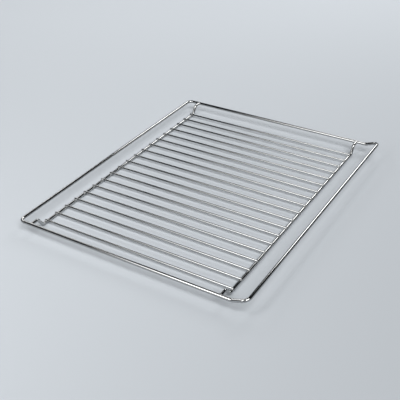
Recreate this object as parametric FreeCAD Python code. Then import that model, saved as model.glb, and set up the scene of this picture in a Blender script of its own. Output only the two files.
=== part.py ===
import FreeCAD
import Part
import math
import os

Vector = FreeCAD.Vector

# Oven shelf rack of round steel wire, in millimetres.
# X runs across the oven, +Y points to its back wall and +Z is up.
# The origin is under the middle of the rack, on the surface that its two rails rest on.

# Overall size, over the outside of the frame wire
overall_width = 465.0
overall_depth = 373.5

# Wire diameters
frame_wire_d = 5.0
rail_wire_d = 4.8
grid_wire_d = 3.0

# Frame bends, each a radius of the wire's centre-line
front_corner_r = 9.0
rear_corner_r = 8.5
kick_bend_r = 12.0

# Raised rear end: its climb, and the length of the sides over which it climbs
rear_rise = 7.5
kick_run = 22.0

# Rails: how far they hang below the frame, how far the front rail lies behind the front wire
# and how far the rear rail lies in front of the point where the sides start to climb
rail_drop = 13.0
front_rail_setback = 21.4
rear_rail_setback = 15.6

# Rail ends: a level stub at the frame, then a slanted riser down to the rail's level run
rail_stub = 14.0
riser_run = 8.5
rail_bend_r = 5.0

# Grid wires, spread evenly over the level run of the rails
grid_wire_count = 19
grid_side_margin = 5.3
grid_end_overhang = 1.6
grid_end_round = 0.5

# Depth to which a grid wire is pressed into a rail by its weld
weld_set_down = 0.8

# Places that follow from the sizes above
rail_z = rail_wire_d / 2
frame_z = rail_z + rail_drop
grid_z = rail_z + rail_wire_d / 2 + grid_wire_d / 2 - weld_set_down
side_x = (overall_width - frame_wire_d) / 2
end_y = (overall_depth - frame_wire_d) / 2
kick_y = end_y - kick_run
front_rail_y = front_rail_setback - end_y
rear_rail_y = kick_y - rear_rail_setback
riser_head_x = side_x - rail_stub
riser_foot_x = riser_head_x - riser_run
riser_slope = math.atan2(rail_drop, riser_run)
level_run_x = riser_foot_x - rail_bend_r * math.tan(riser_slope / 2)
outer_grid_x = level_run_x - grid_side_margin
grid_pitch = 2 * outer_grid_x / (grid_wire_count - 1)


def straight_run(start, end, diameter):
    """Round bar from one point to another."""
    axis = end - start
    return Part.makeCylinder(diameter / 2, axis.Length, start, axis)


def corner_bend(before, corner, after, radius, diameter):
    """Round bar that replaces a sharp corner, with the points where it leaves its two runs."""
    heading = (corner - before).normalize()
    leaving = (after - corner).normalize()
    angle = heading.getAngle(leaving)
    reach = radius * math.tan(angle / 2)
    start = corner - heading * reach
    end = corner + leaving * reach
    turn_axis = heading.cross(leaving).normalize()
    centre = start + turn_axis.cross(heading) * radius
    section = Part.Face(Part.Wire(Part.makeCircle(diameter / 2, start, heading)))
    return section.revolve(centre, turn_axis, math.degrees(angle)), start, end


def joined(bars):
    """One solid from bars that meet end to end."""
    return bars[0].multiFuse(bars[1:]).removeSplitter().Solids[0]


def closed_bar(corners, radii, diameter):
    """Loop of round bar through corner points, each bent to its own radius."""
    bars = []
    starts = []
    ends = []
    for index, corner in enumerate(corners):
        before = corners[index - 1]
        after = corners[(index + 1) % len(corners)]
        bend, start, end = corner_bend(before, corner, after, radii[index], diameter)
        bars.append(bend)
        starts.append(start)
        ends.append(end)
    for index, start in enumerate(starts):
        bars.append(straight_run(ends[index - 1], start, diameter))
    return joined(bars)


def open_bar(points, radius, diameter):
    """Round bar from the first point to the last, bent to one radius at the points between."""
    bars = []
    run_start = points[0]
    for before, corner, after in zip(points, points[1:], points[2:]):
        bend, start, end = corner_bend(before, corner, after, radius, diameter)
        bars.append(straight_run(run_start, start, diameter))
        bars.append(bend)
        run_start = end
    bars.append(straight_run(run_start, points[-1], diameter))
    return joined(bars)


def make_outer_frame():
    """Closed frame wire: level front and sides, and a rear end that the sides climb to."""
    rear_z = frame_z + rear_rise
    corners = [
        Vector(-side_x, -end_y, frame_z),
        Vector(side_x, -end_y, frame_z),
        Vector(side_x, kick_y, frame_z),
        Vector(side_x, end_y, rear_z),
        Vector(-side_x, end_y, rear_z),
        Vector(-side_x, kick_y, frame_z),
    ]
    radii = [
        front_corner_r,
        front_corner_r,
        kick_bend_r,
        rear_corner_r,
        rear_corner_r,
        kick_bend_r,
    ]
    return closed_bar(corners, radii, frame_wire_d)


def make_grid_wire(x):
    """Straight wire across both rails, with its cut ends rounded off."""
    start = Vector(x, front_rail_y - grid_end_overhang, grid_z)
    end = Vector(x, rear_rail_y + grid_end_overhang, grid_z)
    bar = straight_run(start, end, grid_wire_d)
    end_edges = [edge for edge in bar.Edges if edge.Closed]
    return bar.makeFillet(grid_end_round, end_edges)


def make_rail(y, frame, grid_wires):
    """Cross rail with raised ends, shaped to the frame wire and seated under the grid wires."""
    right_end = [
        Vector(side_x, y, frame_z),
        Vector(riser_head_x, y, frame_z),
        Vector(riser_foot_x, y, rail_z),
    ]
    left_end = [Vector(-point.x, point.y, point.z) for point in reversed(right_end)]
    bar = open_bar(right_end + left_end, rail_bend_r, rail_wire_d)
    return bar.cut([frame] + grid_wires)


def make_rack():
    """Every piece of the rack, by the name of its node."""
    frame = make_outer_frame()
    grid_wires = [
        make_grid_wire(index * grid_pitch - outer_grid_x)
        for index in range(grid_wire_count)
    ]
    pieces = {
        "outer_frame": frame,
        "front_rail": make_rail(front_rail_y, frame, grid_wires),
        "rear_rail": make_rail(rear_rail_y, frame, grid_wires),
    }
    for number, wire in enumerate(grid_wires, start=1):
        pieces[f"grid_wire_{number:02d}"] = wire
    return pieces


os.makedirs("parts", exist_ok=True)
for name, shape in make_rack().items():
    shape.exportStep(f"parts/{name}.step")
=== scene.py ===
"""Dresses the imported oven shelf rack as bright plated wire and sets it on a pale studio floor.

Sizes in the classes are millimetres. Meshes are made in metres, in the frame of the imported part:
X runs across the oven, +Y points to its back wall and +Z is up.
"""

import logging
import math
import random
from collections.abc import Sequence
from dataclasses import dataclass
from enum import Enum
from typing import Any

import bmesh
import bpy
from mathutils import Matrix, Vector, noise


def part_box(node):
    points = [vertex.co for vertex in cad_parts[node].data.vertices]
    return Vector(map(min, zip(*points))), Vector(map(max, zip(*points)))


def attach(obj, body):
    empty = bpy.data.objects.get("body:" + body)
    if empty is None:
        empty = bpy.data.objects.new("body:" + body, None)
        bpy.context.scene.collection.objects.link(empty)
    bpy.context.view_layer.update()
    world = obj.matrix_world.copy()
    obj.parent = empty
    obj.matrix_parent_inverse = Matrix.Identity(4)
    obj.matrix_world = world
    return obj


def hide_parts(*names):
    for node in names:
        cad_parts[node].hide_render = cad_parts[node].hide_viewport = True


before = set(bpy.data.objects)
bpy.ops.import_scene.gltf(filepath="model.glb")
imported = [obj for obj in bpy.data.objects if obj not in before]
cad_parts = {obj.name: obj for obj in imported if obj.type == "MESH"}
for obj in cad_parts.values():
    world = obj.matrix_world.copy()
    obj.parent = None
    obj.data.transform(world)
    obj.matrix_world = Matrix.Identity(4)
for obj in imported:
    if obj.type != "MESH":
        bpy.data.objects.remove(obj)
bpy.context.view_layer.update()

MM = 0.001
BODY = "root"
UV_NAME = "along_and_around"
GRID_PREFIX = "grid_wire_"
BOW_SEED = 19
# Sockets of a Mix node for colours, which share their names with those for other data
MIX_FACTOR = 0
MIX_FIRST = 6
MIX_SECOND = 7
MIX_RESULT = 2
log = logging.getLogger("oven_shelf_rack")


class WireKind(Enum):
    """Kinds of wire in the rack, each with the number of flats that round its section."""

    THICK = 48
    THIN = 40


class Side(Enum):
    """Sides of the rack, each with the sign of its place along X."""

    LEFT = -1
    RIGHT = 1


def linear(hex_colour: str) -> tuple[float, float, float, float]:
    """Turns an sRGB hex colour into a linear colour.

    Args:
        hex_colour: Six hex digits after a number sign.

    Returns:
        Linear red, green, blue and an alpha of one.
    """
    levels = [int(hex_colour[i:i + 2], 16) / 255 for i in (1, 3, 5)]
    red, green, blue = (
        level / 12.92 if level <= 0.04045 else ((level + 0.055) / 1.055) ** 2.4
        for level in levels
    )
    return red, green, blue, 1.0


def add_node(
    tree: bpy.types.NodeTree,
    kind: str,
    settings: dict[str | int, Any] | None = None,
    links: dict[str | int, bpy.types.NodeSocket] | None = None,
) -> bpy.types.Node:
    """Adds a node with its settings and links.

    Args:
        tree: Node tree that gets the node.
        kind: Blender's name for the node type.
        settings: Values for the node's own properties or, by name or number, its inputs.
        links: Output sockets to join to the node's inputs, by the input's name or number.

    Returns:
        The new node.
    """
    node = tree.nodes.new(kind)
    for key, value in (settings or {}).items():
        if isinstance(key, str) and hasattr(node, key):
            setattr(node, key, value)
        else:
            node.inputs[key].default_value = value
    for key, socket in (links or {}).items():
        tree.links.new(socket, node.inputs[key])
    return node


def new_material(name: str) -> bpy.types.Material:
    """Makes a material whose node tree is still empty.

    Args:
        name: Name of the real material.

    Returns:
        The new material.
    """
    material = bpy.data.materials.new(name)
    material.use_nodes = True
    material.node_tree.nodes.clear()
    return material


@dataclass(frozen=True)
class PlatedWireFinish:
    """Bright chromium plate over drawn steel wire.

    Drawing leaves fine lines along the wire, which the thin plate follows. The eye gets a mirror
    with sharp bright and dark streaks, a little blurred across the lines, that wander slightly
    where the plate is uneven. Chromium is a neutral grey metal that reflects a little over half.
    """

    name: str = "chromium_plated_drawn_steel"
    plate: str = "#BCBEC0"
    thin_plate: str = "#ACABA8"
    grazing_tint: str = "#DCDDDE"
    # Die lines are near 0.05 mm apart on real wire, drawn coarser here so that they show
    die_line_mm: float = 0.3
    die_line_length_mm: float = 40.0
    die_line_depth_mm: float = 0.002
    ripple_mm: float = 5.0
    ripple_depth_mm: float = 0.002
    cloud_mm: float = 22.0
    smoothest: float = 0.05
    dullest: float = 0.12

    def build(self) -> bpy.types.Material:
        """Makes the material, which reads the wire's own map of length and girth.

        Returns:
            The finished material.
        """
        material = new_material(self.name)
        tree = material.node_tree
        place = add_node(tree, "ShaderNodeTexCoord")
        wire_map = add_node(tree, "ShaderNodeUVMap", {"uv_map": UV_NAME})
        stretched = add_node(
            tree,
            "ShaderNodeMapping",
            {"Scale": (1 / (self.die_line_length_mm * MM), 1 / (self.die_line_mm * MM), 1.0)},
            {"Vector": wire_map.outputs["UV"]},
        )
        die_lines = add_node(
            tree,
            "ShaderNodeTexNoise",
            {"Scale": 1.0, "Detail": 3.0, "Roughness": 0.6},
            {"Vector": stretched.outputs["Vector"]},
        )
        ripple = add_node(
            tree,
            "ShaderNodeTexNoise",
            {"Scale": 1 / (self.ripple_mm * MM), "Detail": 1.0, "Roughness": 0.4},
            {"Vector": place.outputs["Object"]},
        )
        clouds = add_node(
            tree,
            "ShaderNodeTexNoise",
            {"Scale": 1 / (self.cloud_mm * MM), "Detail": 3.0, "Roughness": 0.55},
            {"Vector": place.outputs["Object"]},
        )
        colour = add_node(
            tree,
            "ShaderNodeMix",
            {
                "data_type": "RGBA",
                MIX_FIRST: linear(self.plate),
                MIX_SECOND: linear(self.thin_plate),
            },
            {MIX_FACTOR: clouds.outputs["Fac"]},
        )
        dulled = add_node(
            tree,
            "ShaderNodeMath",
            {"operation": "MULTIPLY"},
            {0: clouds.outputs["Fac"], 1: die_lines.outputs["Fac"]},
        )
        roughness = add_node(
            tree,
            "ShaderNodeMapRange",
            {"From Min": 0.1, "From Max": 0.4, "To Min": self.smoothest, "To Max": self.dullest},
            {"Value": dulled.outputs["Value"]},
        )
        lined = add_node(
            tree,
            "ShaderNodeBump",
            {"Strength": 1.0, "Distance": self.die_line_depth_mm * MM},
            {"Height": die_lines.outputs["Fac"]},
        )
        rippled = add_node(
            tree,
            "ShaderNodeBump",
            {"Strength": 1.0, "Distance": self.ripple_depth_mm * MM},
            {"Height": ripple.outputs["Fac"], "Normal": lined.outputs["Normal"]},
        )
        shader = add_node(
            tree,
            "ShaderNodeBsdfPrincipled",
            {"Metallic": 1.0, "Specular Tint": linear(self.grazing_tint)},
            {
                "Base Color": colour.outputs[MIX_RESULT],
                "Roughness": roughness.outputs["Result"],
                "Normal": rippled.outputs["Normal"],
            },
        )
        add_node(tree, "ShaderNodeOutputMaterial", None, {"Surface": shader.outputs["BSDF"]})
        return material


@dataclass(frozen=True)
class PlatedWeldFinish:
    """Chromium plate over the metal that a resistance weld squeezes out.

    The metal froze in a lumpy rim and the plate keeps its grain, so the eye gets small broken
    glints on a slightly duller and darker grey than on the wires.
    """

    name: str = "chromium_plated_weld_metal"
    plate: str = "#C2C2C2"
    hollow_plate: str = "#96938F"
    grazing_tint: str = "#DCDDDE"
    grain_mm: float = 0.5
    grain_depth_mm: float = 0.03
    lump_mm: float = 1.6
    smoothest: float = 0.1
    dullest: float = 0.26

    def build(self) -> bpy.types.Material:
        """Makes the material, which reads places on the rack itself.

        Returns:
            The finished material.
        """
        material = new_material(self.name)
        tree = material.node_tree
        place = add_node(tree, "ShaderNodeTexCoord")
        grain = add_node(
            tree,
            "ShaderNodeTexNoise",
            {"Scale": 1 / (self.grain_mm * MM), "Detail": 3.0, "Roughness": 0.55},
            {"Vector": place.outputs["Object"]},
        )
        lumps = add_node(
            tree,
            "ShaderNodeTexNoise",
            {"Scale": 1 / (self.lump_mm * MM), "Detail": 2.0, "Roughness": 0.5},
            {"Vector": place.outputs["Object"]},
        )
        colour = add_node(
            tree,
            "ShaderNodeMix",
            {
                "data_type": "RGBA",
                MIX_FIRST: linear(self.plate),
                MIX_SECOND: linear(self.hollow_plate),
            },
            {MIX_FACTOR: lumps.outputs["Fac"]},
        )
        roughness = add_node(
            tree,
            "ShaderNodeMapRange",
            {"From Min": 0.3, "From Max": 0.7, "To Min": self.smoothest, "To Max": self.dullest},
            {"Value": grain.outputs["Fac"]},
        )
        grained = add_node(
            tree,
            "ShaderNodeBump",
            {"Strength": 1.0, "Distance": self.grain_depth_mm * MM},
            {"Height": grain.outputs["Fac"]},
        )
        shader = add_node(
            tree,
            "ShaderNodeBsdfPrincipled",
            {"Metallic": 1.0, "Specular Tint": linear(self.grazing_tint)},
            {
                "Base Color": colour.outputs[MIX_RESULT],
                "Roughness": roughness.outputs["Result"],
                "Normal": grained.outputs["Normal"],
            },
        )
        add_node(tree, "ShaderNodeOutputMaterial", None, {"Surface": shader.outputs["BSDF"]})
        return material


@dataclass(frozen=True)
class FloorFinish:
    """Matt studio card, plain and pale, with a faint tooth that keeps it from any sheen."""

    name: str = "matt_studio_card"
    card: str = "#C2C7CC"
    tooth: str = "#BFC4C9"
    tooth_mm: float = 1.2
    roughness: float = 0.95
    sheen_level: float = 0.1

    def build(self) -> bpy.types.Material:
        """Makes the card material.

        Returns:
            The finished material.
        """
        material = new_material(self.name)
        tree = material.node_tree
        place = add_node(tree, "ShaderNodeTexCoord")
        tooth = add_node(
            tree,
            "ShaderNodeTexNoise",
            {"Scale": 1 / (self.tooth_mm * MM), "Detail": 2.0},
            {"Vector": place.outputs["Object"]},
        )
        colour = add_node(
            tree,
            "ShaderNodeMix",
            {
                "data_type": "RGBA",
                MIX_FIRST: linear(self.card),
                MIX_SECOND: linear(self.tooth),
            },
            {MIX_FACTOR: tooth.outputs["Fac"]},
        )
        shader = add_node(
            tree,
            "ShaderNodeBsdfPrincipled",
            {"Roughness": self.roughness, "Specular IOR Level": self.sheen_level},
            {"Base Color": colour.outputs[MIX_RESULT]},
        )
        add_node(tree, "ShaderNodeOutputMaterial", None, {"Surface": shader.outputs["BSDF"]})
        return material


def add_piece(name: str, mesh: bmesh.types.BMesh) -> bpy.types.Object:
    """Makes a finished bmesh an object of the scene and frees the bmesh.

    Args:
        name: Name of the piece.
        mesh: Closed shape, in place.

    Returns:
        The new object.
    """
    for face in mesh.faces:
        face.smooth = True
    data = bpy.data.meshes.new(name)
    mesh.to_mesh(data)
    mesh.free()
    piece = bpy.data.objects.new(name, data)
    bpy.context.scene.collection.objects.link(piece)
    return piece


def dress_piece(piece: bpy.types.Object, material: bpy.types.Material, nodes: Sequence[str]) -> None:
    """Gives a piece its finish and hangs it on the rack.

    Args:
        piece: The piece.
        material: Its finish.
        nodes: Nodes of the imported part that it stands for, or none.
    """
    piece.data.materials.append(material)
    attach(piece, BODY)
    if nodes:
        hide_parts(*nodes)
    log.info("%s: %d faces", piece.name, len(piece.data.polygons))


class WireSweep:
    """Draws one round wire ring by ring along straight runs and bends, in metres."""

    run_step = 12 * MM
    guard_step = 1 * MM
    bend_step = math.radians(6)
    rim_steps = 5
    # Shares of an end's rounding: the width of the ring inside its rim and the height of its swell
    inset_share = 1 / 4
    swell_share = 1 / 6

    def __init__(self, start: Vector, heading: Vector, radius: float, kind: WireKind) -> None:
        """Sets the first ring of the wire.

        Args:
            start: Middle of the first ring.
            heading: Direction in which the wire leaves it.
            radius: Radius of the wire.
            kind: Kind of wire, which gives the flats round its section.
        """
        self.mesh = bmesh.new()
        self.along = self.mesh.verts.layers.float.new("along")
        self.around = self.mesh.verts.layers.float.new("around")
        self.radius = radius
        self.point = start.copy()
        self.length = 0.0
        turn = heading.to_track_quat("Z", "Y").to_matrix().to_4x4()
        made = bmesh.ops.create_circle(
            self.mesh,
            cap_ends=False,
            radius=radius,
            segments=kind.value,
            matrix=Matrix.Translation(start) @ turn,
        )
        self.ring: list[bmesh.types.BMVert] = made["verts"]
        for index, vertex in enumerate(self.ring):
            vertex[self.around] = index / kind.value
        self.first_edges = self.ring_edges()

    def ring_edges(self) -> list[bmesh.types.BMEdge]:
        """Lists the edges of the newest ring.

        Returns:
            The edges whose two ends are both on the ring.
        """
        members = set(self.ring)
        found = {edge for vertex in self.ring for edge in vertex.link_edges}
        return [edge for edge in found if set(edge.verts) <= members]

    def advance(self, ring: list[bmesh.types.BMVert], distance: float) -> None:
        """Makes a ring the newest one and notes how far along the wire it is.

        Args:
            ring: Vertices of the new ring.
            distance: Length of wire since the ring before.
        """
        self.ring = ring
        self.length += distance
        for vertex in ring:
            vertex[self.along] = self.length

    def run(self, end: Vector) -> None:
        """Draws a straight run to a point.

        A close ring next to each end keeps the smooth shading of a bend or a cut off the run.

        Args:
            end: Middle of the last ring of the run.
        """
        whole = end - self.point
        inner = whole.length - 2 * self.guard_step
        count = max(1, round(inner / self.run_step))
        for step in (self.guard_step, *[inner / count] * count, self.guard_step):
            made = bmesh.ops.extrude_edge_only(self.mesh, edges=self.ring_edges())
            ring = [item for item in made["geom"] if isinstance(item, bmesh.types.BMVert)]
            bmesh.ops.translate(self.mesh, verts=ring, vec=whole.normalized() * step)
            self.advance(ring, step)
        self.point = end.copy()

    def bend(self, centre: Vector, axis: Vector, angle: float) -> None:
        """Draws a bend by spinning the newest ring.

        Args:
            centre: Point on the axis of the bend, level with the wire's middle line.
            axis: Direction of the bend's axis.
            angle: Angle of the bend.
        """
        bend_radius = (self.point - centre).length
        steps = max(2, math.ceil(angle / self.bend_step))
        for _ in range(steps):
            made = bmesh.ops.spin(
                self.mesh,
                geom=self.ring + self.ring_edges(),
                cent=centre,
                axis=axis,
                dvec=Vector(),
                angle=angle / steps,
                steps=1,
                use_merge=False,
                use_normal_flip=False,
                use_duplicate=False,
            )
            ring = [item for item in made["geom_last"] if isinstance(item, bmesh.types.BMVert)]
            self.advance(ring, bend_radius * angle / steps)
        self.point = centre + Matrix.Rotation(angle, 3, axis) @ (self.point - centre)

    def corner(self, corner: Vector, after: Vector, bend_radius: float) -> None:
        """Draws the run up to a corner and the bend round it.

        Args:
            corner: Point where the wire's straight middle lines would meet.
            after: Point that the wire goes on to.
            bend_radius: Radius of the bend's middle line.
        """
        heading = (corner - self.point).normalized()
        leaving = (after - corner).normalized()
        angle = heading.angle(leaving)
        bend_start = corner - heading * bend_radius * math.tan(angle / 2)
        axis = heading.cross(leaving).normalized()
        self.run(bend_start)
        self.bend(bend_start + axis.cross(heading) * bend_radius, axis, angle)

    def close(self) -> None:
        """Joins the newest ring to the first one."""
        bmesh.ops.bridge_loops(self.mesh, edges=self.first_edges + self.ring_edges())

    def cap(self, end_round: float) -> None:
        """Closes both ends of the wire with a face whose rim is rounded and whose middle swells.

        Args:
            end_round: Radius of the rounded rim, or zero for a plain end inside another wire.
        """
        for edges in (self.first_edges, self.ring_edges()):
            face = bmesh.ops.contextual_create(self.mesh, geom=edges)["faces"][0]
            if not end_round:
                continue
            rim = list(face.edges)
            bmesh.ops.bevel(
                self.mesh,
                geom=rim,
                affect="EDGES",
                offset_type="OFFSET",
                offset=end_round,
                segments=self.rim_steps,
                profile=0.5,
                material=-1,
            )
            bmesh.ops.recalc_face_normals(self.mesh, faces=self.mesh.faces[:])
            inner = [item for item in self.mesh.faces if len(item.verts) == len(rim)]
            bmesh.ops.inset_individual(self.mesh, faces=inner, thickness=end_round * self.inset_share)
            swell = bmesh.ops.poke(self.mesh, faces=inner, offset=end_round * self.swell_share)
            for vertex in swell["verts"]:
                near = vertex.link_edges[0].other_vert(vertex)
                vertex[self.along] = near[self.along]

    def spread(self) -> None:
        """Writes the wire's length and girth into a map, in metres, for patterns that follow it."""
        layer = self.mesh.loops.layers.uv.new(UV_NAME)
        girth = 2 * math.pi * self.radius
        for face in self.mesh.faces:
            lengths = [loop.vert[self.along] for loop in face.loops]
            turns = [loop.vert[self.around] for loop in face.loops]
            wraps_length = max(lengths) - min(lengths) > self.length / 2
            wraps_turn = max(turns) - min(turns) > 0.5
            for loop, length, turn in zip(face.loops, lengths, turns):
                if wraps_length and length < self.length / 2:
                    length += self.length
                if wraps_turn and turn < 0.5:
                    turn += 1
                loop[layer].uv = (length, turn * girth)

    def finish(self, name: str) -> bpy.types.Object:
        """Makes the drawn wire an object with smooth faces.

        Args:
            name: Name of the piece.

        Returns:
            The wire's object.
        """
        bmesh.ops.recalc_face_normals(self.mesh, faces=self.mesh.faces[:])
        self.spread()
        layers = self.mesh.verts.layers.float
        for layer_name in ("along", "around"):
            layers.remove(layers[layer_name])
        return add_piece(name, self.mesh)


@dataclass
class OuterFrame:
    """Closed frame wire with rounded corners and a rear end that the sides climb to."""

    node: str = "outer_frame"
    wire_d: float = 5.0
    front_corner_r: float = 9.0
    rear_corner_r: float = 8.5
    kick_bend_r: float = 12.0
    kick_run: float = 22.0

    @property
    def radius(self) -> float:
        """Radius of the wire, in metres."""
        return self.wire_d / 2 * MM

    @property
    def side_x(self) -> float:
        """Distance of the side wires' middle lines from the middle of the rack, in metres."""
        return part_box(self.node)[1].x - self.radius

    @property
    def level_z(self) -> float:
        """Height of the middle line along the front and the level sides, in metres."""
        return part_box(self.node)[0].z + self.radius

    def build(self) -> bpy.types.Object:
        """Draws the frame wire from the middle of its front, through every corner and back.

        Returns:
            The frame's piece.
        """
        low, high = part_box(self.node)
        left, right = low.x + self.radius, self.side_x
        front, rear = low.y + self.radius, high.y - self.radius
        level, raised = self.level_z, high.z - self.radius
        kick = rear - self.kick_run * MM
        corners = [
            (Vector((right, front, level)), self.front_corner_r),
            (Vector((right, kick, level)), self.kick_bend_r),
            (Vector((right, rear, raised)), self.rear_corner_r),
            (Vector((left, rear, raised)), self.rear_corner_r),
            (Vector((left, kick, level)), self.kick_bend_r),
            (Vector((left, front, level)), self.front_corner_r),
        ]
        start = Vector(((left + right) / 2, front, level))
        sweep = WireSweep(start, Vector((1, 0, 0)), self.radius, WireKind.THICK)
        for index, (corner, bend_r) in enumerate(corners):
            after = corners[index + 1][0] if index + 1 < len(corners) else start
            sweep.corner(corner, after, bend_r * MM)
        sweep.run(start - Vector((sweep.run_step, 0, 0)))
        sweep.close()
        return sweep.finish("frame_bar")

    def dress(self, piece: bpy.types.Object, finish: bpy.types.Material) -> None:
        """Plates the frame wire and sets it in the node's place."""
        dress_piece(piece, finish, [self.node])


@dataclass
class CrossRail:
    """Cross rail whose ends step up through slanted risers to the sides of the frame."""

    node: str
    outer_frame: OuterFrame
    wire_d: float = 4.8
    rail_stub: float = 14.0
    riser_run: float = 8.5
    bend_r: float = 5.0

    @property
    def radius(self) -> float:
        """Radius of the wire, in metres."""
        return self.wire_d / 2 * MM

    @property
    def middle_y(self) -> float:
        """Distance of the rail's middle line along Y, in metres."""
        low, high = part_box(self.node)
        return (low.y + high.y) / 2

    @property
    def level_z(self) -> float:
        """Height of the rail's middle line along its level run, in metres."""
        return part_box(self.node)[0].z + self.radius

    def build(self) -> bpy.types.Object:
        """Draws the rail from one side of the frame to the other.

        Returns:
            The rail's piece.
        """
        y, high_z = self.middle_y, self.outer_frame.level_z
        side_x = self.outer_frame.side_x
        head_x = side_x - self.rail_stub * MM
        half = [
            Vector((side_x, y, high_z)),
            Vector((head_x, y, high_z)),
            Vector((head_x - self.riser_run * MM, y, self.level_z)),
        ]
        points = half + [Vector((-p.x, p.y, p.z)) for p in reversed(half)]
        sweep = WireSweep(points[0], Vector((-1, 0, 0)), self.radius, WireKind.THICK)
        for corner, after in zip(points[1:-1], points[2:]):
            sweep.corner(corner, after, self.bend_r * MM)
        sweep.run(points[-1])
        sweep.cap(0)
        return sweep.finish(f"{self.node}_bar")

    def dress(self, piece: bpy.types.Object, finish: bpy.types.Material) -> None:
        """Plates the rail and sets it in the node's place."""
        dress_piece(piece, finish, [self.node])


@dataclass
class GridWire:
    """Thin straight wire across both rails, cut at both ends and a little bowed between its welds."""

    node: str
    end_round: float = 0.5
    most_bow: float = 0.15

    @property
    def radius(self) -> float:
        """Radius of the wire, in metres."""
        low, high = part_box(self.node)
        return (high.z - low.z) / 2

    @property
    def middle(self) -> Vector:
        """Point halfway along the wire's middle line, in metres."""
        low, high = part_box(self.node)
        return (low + high) / 2

    def build(self, chance: random.Random) -> bpy.types.Object:
        """Draws the wire between its two cut ends.

        Args:
            chance: Seeded source of the small differences between wires.

        Returns:
            The wire's piece.
        """
        low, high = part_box(self.node)
        middle = self.middle
        start = Vector((middle.x, low.y, middle.z))
        end = Vector((middle.x, high.y, middle.z))
        sweep = WireSweep(start, Vector((0, 1, 0)), self.radius, WireKind.THIN)
        sweep.run(end)
        sweep.cap(self.end_round * MM)
        side_bow = chance.uniform(-self.most_bow, self.most_bow) * MM
        sag = chance.uniform(-self.most_bow, self.most_bow) * MM
        for vertex in sweep.mesh.verts:
            share = math.sin(math.pi * (vertex.co.y - low.y) / (high.y - low.y))
            vertex.co += Vector((side_bow, 0, sag)) * share
        return sweep.finish(self.node.replace("wire", "bar"))

    def dress(self, piece: bpy.types.Object, finish: bpy.types.Material) -> None:
        """Plates the wire and sets it in the node's place."""
        dress_piece(piece, finish, [self.node])


@dataclass(frozen=True)
class RimLine:
    """Middle line of a weld's rim: an oval that lies flat round the origin, in metres."""

    half_x: float
    half_y: float

    def turn_at(self, place: Vector) -> float:
        """Works out the angle round the oval at which a point lies."""
        return math.atan2(place.y / self.half_y, place.x / self.half_x)

    def point(self, turn: float) -> Vector:
        """Works out the point of the oval at an angle."""
        return Vector((self.half_x * math.cos(turn), self.half_y * math.sin(turn), 0))


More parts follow.
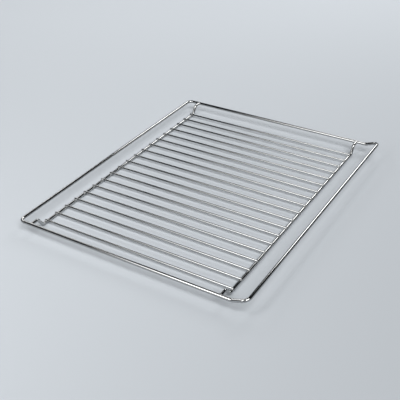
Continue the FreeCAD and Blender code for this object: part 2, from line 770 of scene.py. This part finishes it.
@dataclass
class RailWelds:
    """Rims of squeezed-out metal where a rail holds the grid wires and joins the frame."""

    rail: CrossRail
    wires: Sequence[GridWire]
    seat_bead_r: float = 0.6
    end_bead_r: float = 0.8
    # Share of the bead's thickness that is left where it crosses over the frame's crown
    crown_share: float = 0.3
    unevenness: float = 0.3
    lump: float = 1.3
    bead_flats: int = 12
    ring_steps: int = 36

    def add_ring(self, mesh: bmesh.types.BMesh, line: RimLine, bead_r: float) -> list[bmesh.types.BMVert]:
        """Spins a small round section into a rim that lies flat round the origin.

        Args:
            mesh: Shape that gets the rim.
            line: Middle line of the rim.
            bead_r: Radius of the section.

        Returns:
            The rim's vertices.
        """
        before = set(mesh.verts)
        upright = Matrix.Translation((line.half_x, 0, 0)) @ Matrix.Rotation(math.pi / 2, 4, "X")
        section = bmesh.ops.create_circle(
            mesh, cap_ends=False, radius=bead_r, segments=self.bead_flats, matrix=upright
        )["verts"]
        edges = list({edge for vertex in section for edge in vertex.link_edges})
        bmesh.ops.spin(
            mesh,
            geom=section + edges,
            cent=(0, 0, 0),
            axis=(0, 0, 1),
            dvec=(0, 0, 0),
            angle=2 * math.pi,
            steps=self.ring_steps,
            use_merge=True,
            use_normal_flip=False,
            use_duplicate=False,
        )
        ring = [vertex for vertex in mesh.verts if vertex not in before]
        for vertex in ring:
            turn = math.atan2(vertex.co.y, vertex.co.x)
            vertex.co.y += (line.half_y - line.half_x) * math.sin(turn)
        return ring

    def roughen(
        self, ring: list[bmesh.types.BMVert], line: RimLine, place: Vector, crown_share: float
    ) -> None:
        """Swells and pinches a rim about its middle line, as frozen metal is never even.

        Args:
            ring: Vertices of the rim.
            line: Middle line of the rim.
            place: Where the rim goes on the rack, so that no two are alike.
            crown_share: Share of the rim's thickness that is left where it crosses the line's X axis.
        """
        for vertex in ring:
            turn = line.turn_at(vertex.co)
            core = line.point(turn)
            value = noise.noise((core + place) / (self.lump * MM))
            fullness = crown_share + (1 - crown_share) * math.sin(turn) ** 2
            vertex.co = core + (vertex.co - core) * fullness * (1 + self.unevenness * value)

    def add_seat(self, mesh: bmesh.types.BMesh, wire: GridWire) -> None:
        """Adds the rim round the seat of one grid wire.

        Args:
            mesh: Shape that gets the rim.
            wire: The grid wire.
        """
        rail_r, grid_r = self.rail.radius, wire.radius
        gap = wire.middle.z - self.rail.level_z
        line = RimLine(
            half_x=math.sqrt(grid_r**2 - (gap - rail_r) ** 2),
            half_y=math.sqrt(rail_r**2 - (gap - grid_r) ** 2),
        )
        place = Vector((wire.middle.x, self.rail.middle_y, self.rail.level_z))
        ring = self.add_ring(mesh, line, self.seat_bead_r * MM)
        self.roughen(ring, line, place, crown_share=1.0)
        for vertex in ring:
            across = line.point(line.turn_at(vertex.co)).y
            vertex.co.z += math.sqrt(rail_r**2 - across**2)
        bmesh.ops.translate(mesh, verts=ring, vec=place)

    def add_end(self, mesh: bmesh.types.BMesh, side: Side) -> None:
        """Adds the rim where one end of the rail meets the frame.

        Args:
            mesh: Shape that gets the rim.
            side: Side of the rack on which the end is.
        """
        outer_frame = self.rail.outer_frame
        line = RimLine(self.rail.radius, self.rail.radius)
        place = Vector((side.value * outer_frame.side_x, self.rail.middle_y, outer_frame.level_z))
        ring = self.add_ring(mesh, line, self.end_bead_r * MM)
        self.roughen(ring, line, place, self.crown_share)
        for vertex in ring:
            across = line.point(line.turn_at(vertex.co)).x
            vertex.co.z -= math.sqrt(outer_frame.radius**2 - across**2)
        upright = Matrix.Rotation(side.value * math.pi / 2, 4, "Y")
        bmesh.ops.transform(mesh, matrix=Matrix.Translation(place) @ upright, verts=ring)

    def build(self) -> bpy.types.Object:
        """Makes every rim on the rail as one piece.

        Returns:
            The piece of weld metal.
        """
        mesh = bmesh.new()
        for wire in self.wires:
            self.add_seat(mesh, wire)
        for side in Side:
            self.add_end(mesh, side)
        bmesh.ops.recalc_face_normals(mesh, faces=mesh.faces[:])
        return add_piece(f"{self.rail.node}_welds", mesh)

    def dress(self, piece: bpy.types.Object, finish: bpy.types.Material) -> None:
        """Plates the weld metal, which has no node of its own."""
        dress_piece(piece, finish, [])


@dataclass
class SoftBox:
    """Soft box of a photographer's studio: a wide panel of white light that fades towards one corner."""

    name: str
    place_m: tuple[float, float, float]
    target_m: tuple[float, float, float]
    width_m: float
    height_m: float
    radiance: float
    # Share of the radiance at the panel's own lower left corner, and its rise across and up the panel
    corner_share: float = 1.0
    rise_across: float = 0.0
    rise_up: float = 0.0

    def build(self) -> bpy.types.Object:
        """Hangs the panel and turns it to its target.

        Returns:
            The lamp.
        """
        data = bpy.data.lights.new(self.name, "AREA")
        data.shape = "RECTANGLE"
        data.size = self.width_m
        data.size_y = self.height_m
        data.energy = self.radiance * math.pi * self.width_m * self.height_m
        lamp = bpy.data.objects.new(self.name, data)
        lamp.location = self.place_m
        aim = Vector(self.target_m) - Vector(self.place_m)
        lamp.rotation_euler = aim.to_track_quat("-Z", "Y").to_euler()
        lamp.visible_camera = False
        bpy.context.scene.collection.objects.link(lamp)
        self.fade(data)
        return lamp

    def fade(self, data: bpy.types.AreaLight) -> None:
        """Grades the panel's light evenly from its lower left corner, between none and its full radiance.

        Args:
            data: The lamp's light.
        """
        data.use_nodes = True
        tree = data.node_tree
        tree.nodes.clear()
        panel = add_node(tree, "ShaderNodeNewGeometry")
        rise = add_node(
            tree,
            "ShaderNodeVectorMath",
            {"operation": "DOT_PRODUCT", 1: (self.rise_across, self.rise_up, 0.0)},
            {0: panel.outputs["Parametric"]},
        )
        share = add_node(
            tree,
            "ShaderNodeMath",
            {"operation": "ADD", "use_clamp": True, 1: self.corner_share},
            {0: rise.outputs["Value"]},
        )
        light = add_node(tree, "ShaderNodeEmission", None, {"Strength": share.outputs["Value"]})
        add_node(tree, "ShaderNodeOutputLight", None, {"Surface": light.outputs["Emission"]})


@dataclass
class HighBank:
    """Bank of panels high over one side, so far away that it lights the whole floor alike."""

    name: str = "high_bank"
    direction: tuple[float, float, float] = (0.35, 0.5, 0.79)
    spread_deg: float = 45.0
    irradiance: float = 2.5

    def build(self) -> bpy.types.Object:
        """Hangs the bank.

        Returns:
            The lamp.
        """
        data = bpy.data.lights.new(self.name, "SUN")
        data.angle = math.radians(self.spread_deg)
        data.energy = self.irradiance
        lamp = bpy.data.objects.new(self.name, data)
        lamp.rotation_euler = Vector(self.direction).to_track_quat("Z", "Y").to_euler()
        bpy.context.scene.collection.objects.link(lamp)
        return lamp


@dataclass
class Studio:
    """Pale floor, soft boxes round the rack and the dim room that the plate mirrors between them."""

    floor_r_m: float = 9.0
    floor_flats: int = 128
    # Brightness of the room by the sine of the height above the horizon
    room: tuple[tuple[float, str], ...] = (
        (0.0, "#9CA1A6"),
        (0.03, "#979CA1"),
        (0.18, "#45484B"),
        (0.3, "#292B2D"),
        (1.0, "#222426"),
    )
    boxes: tuple[SoftBox, ...] = (
        SoftBox(
            "near_softbox",
            place_m=(0.757, -0.385, 0.74),
            target_m=(0.23, -0.385, 0.015),
            width_m=0.53,
            height_m=0.88,
            radiance=4.2,
            corner_share=0.05,
            rise_across=1.5,
        ),
        SoftBox(
            "far_softbox",
            place_m=(-1.484, -0.29, 0.927),
            target_m=(0.0, -0.29, 0.0),
            width_m=0.9,
            height_m=0.49,
            radiance=8.0,
            rise_across=-1.0,
        ),
        SoftBox(
            "far_softbox_upper",
            place_m=(-1.265, -0.29, 1.209),
            target_m=(0.0, -0.29, 0.0),
            width_m=0.9,
            height_m=0.23,
            radiance=8.0,
            rise_across=-0.75,
            rise_up=-0.35,
        ),
        SoftBox(
            "left_softbox",
            place_m=(-0.71, -1.13, 0.89),
            target_m=(0.23, -0.184, 0.015),
            width_m=0.6,
            height_m=0.5,
            radiance=3.0,
        ),
        SoftBox(
            "front_softbox",
            place_m=(0.5, -2.36, 1.94),
            target_m=(0.23, 0.17, 0.018),
            width_m=1.6,
            height_m=0.55,
            radiance=1.4,
        ),
    )

    def build(self, floor_finish: bpy.types.Material) -> None:
        """Lays the floor, hangs the lights and paints the room.

        Args:
            floor_finish: Material of the floor.
        """
        self.lay_floor(floor_finish)
        HighBank().build()
        for box in self.boxes:
            box.build()
        self.paint_room()

    def lay_floor(self, floor_finish: bpy.types.Material) -> None:
        """Lays a round floor under the rack, wide enough to reach the horizon.

        Args:
            floor_finish: Material of the floor.
        """
        mesh = bmesh.new()
        bmesh.ops.create_circle(mesh, cap_ends=True, radius=self.floor_r_m, segments=self.floor_flats)
        floor = add_piece("studio_floor", mesh)
        floor.data.materials.append(floor_finish)

    def paint_room(self) -> None:
        """Paints the world as a dim room that is pale near the floor."""
        world = bpy.data.worlds.new("studio_room")
        world.use_nodes = True
        tree = world.node_tree
        tree.nodes.clear()
        place = add_node(tree, "ShaderNodeTexCoord")
        height = add_node(tree, "ShaderNodeSeparateXYZ", None, {"Vector": place.outputs["Generated"]})
        shade = add_node(tree, "ShaderNodeValToRGB", None, {"Fac": height.outputs["Z"]})
        stops = shade.color_ramp.elements
        while len(stops) < len(self.room):
            stops.new(1.0)
        for stop, (position, colour) in zip(stops, self.room):
            stop.position = position
            stop.color = linear(colour)
        light = add_node(tree, "ShaderNodeBackground", None, {"Color": shade.outputs["Color"]})
        add_node(tree, "ShaderNodeOutputWorld", None, {"Surface": light.outputs["Background"]})
        bpy.context.scene.world = world


@dataclass(frozen=True)
class PhotoCamera:
    """Camera that looks at the rack from the photograph's viewing angle."""

    place: tuple[float, float, float] = (825.9, 488.9, 597.5)
    target: tuple[float, float, float] = (35.2, -0.85, 0.0)
    roll_deg: float = -1.05
    lens: float = 65.34
    sensor: float = 36.0

    def build(self) -> bpy.types.Object:
        """Sets up the camera and makes it the scene's own.

        Returns:
            The camera.
        """
        data = bpy.data.cameras.new("photo_camera")
        data.lens = self.lens
        data.sensor_width = self.sensor
        camera = bpy.data.objects.new("photo_camera", data)
        aim = Vector(self.target) - Vector(self.place)
        level = aim.to_track_quat("-Z", "Y").to_matrix().to_4x4()
        roll = Matrix.Rotation(math.radians(self.roll_deg), 4, "Z")
        camera.matrix_world = Matrix.Translation(Vector(self.place) * MM) @ level @ roll
        bpy.context.scene.collection.objects.link(camera)
        bpy.context.scene.camera = camera
        return camera


def main() -> None:
    """Builds the rack's pieces in order, then the studio and the camera."""
    logging.basicConfig(level=logging.INFO, format="%(name)s: %(message)s")
    bpy.context.scene.view_settings.view_transform = "Standard"
    plated_wire = PlatedWireFinish().build()
    plated_weld = PlatedWeldFinish().build()
    outer_frame = OuterFrame()
    outer_frame.dress(outer_frame.build(), plated_wire)
    rails = [CrossRail(node, outer_frame) for node in ("front_rail", "rear_rail")]
    for rail in rails:
        rail.dress(rail.build(), plated_wire)
    wires = [GridWire(node) for node in sorted(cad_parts) if node.startswith(GRID_PREFIX)]
    chance = random.Random(BOW_SEED)
    for wire in wires:
        wire.dress(wire.build(chance), plated_wire)
    for rail in rails:
        welds = RailWelds(rail, wires)
        welds.dress(welds.build(), plated_weld)
    Studio().build(FloorFinish().build())
    PhotoCamera().build()


if __name__ == "__main__":
    main()
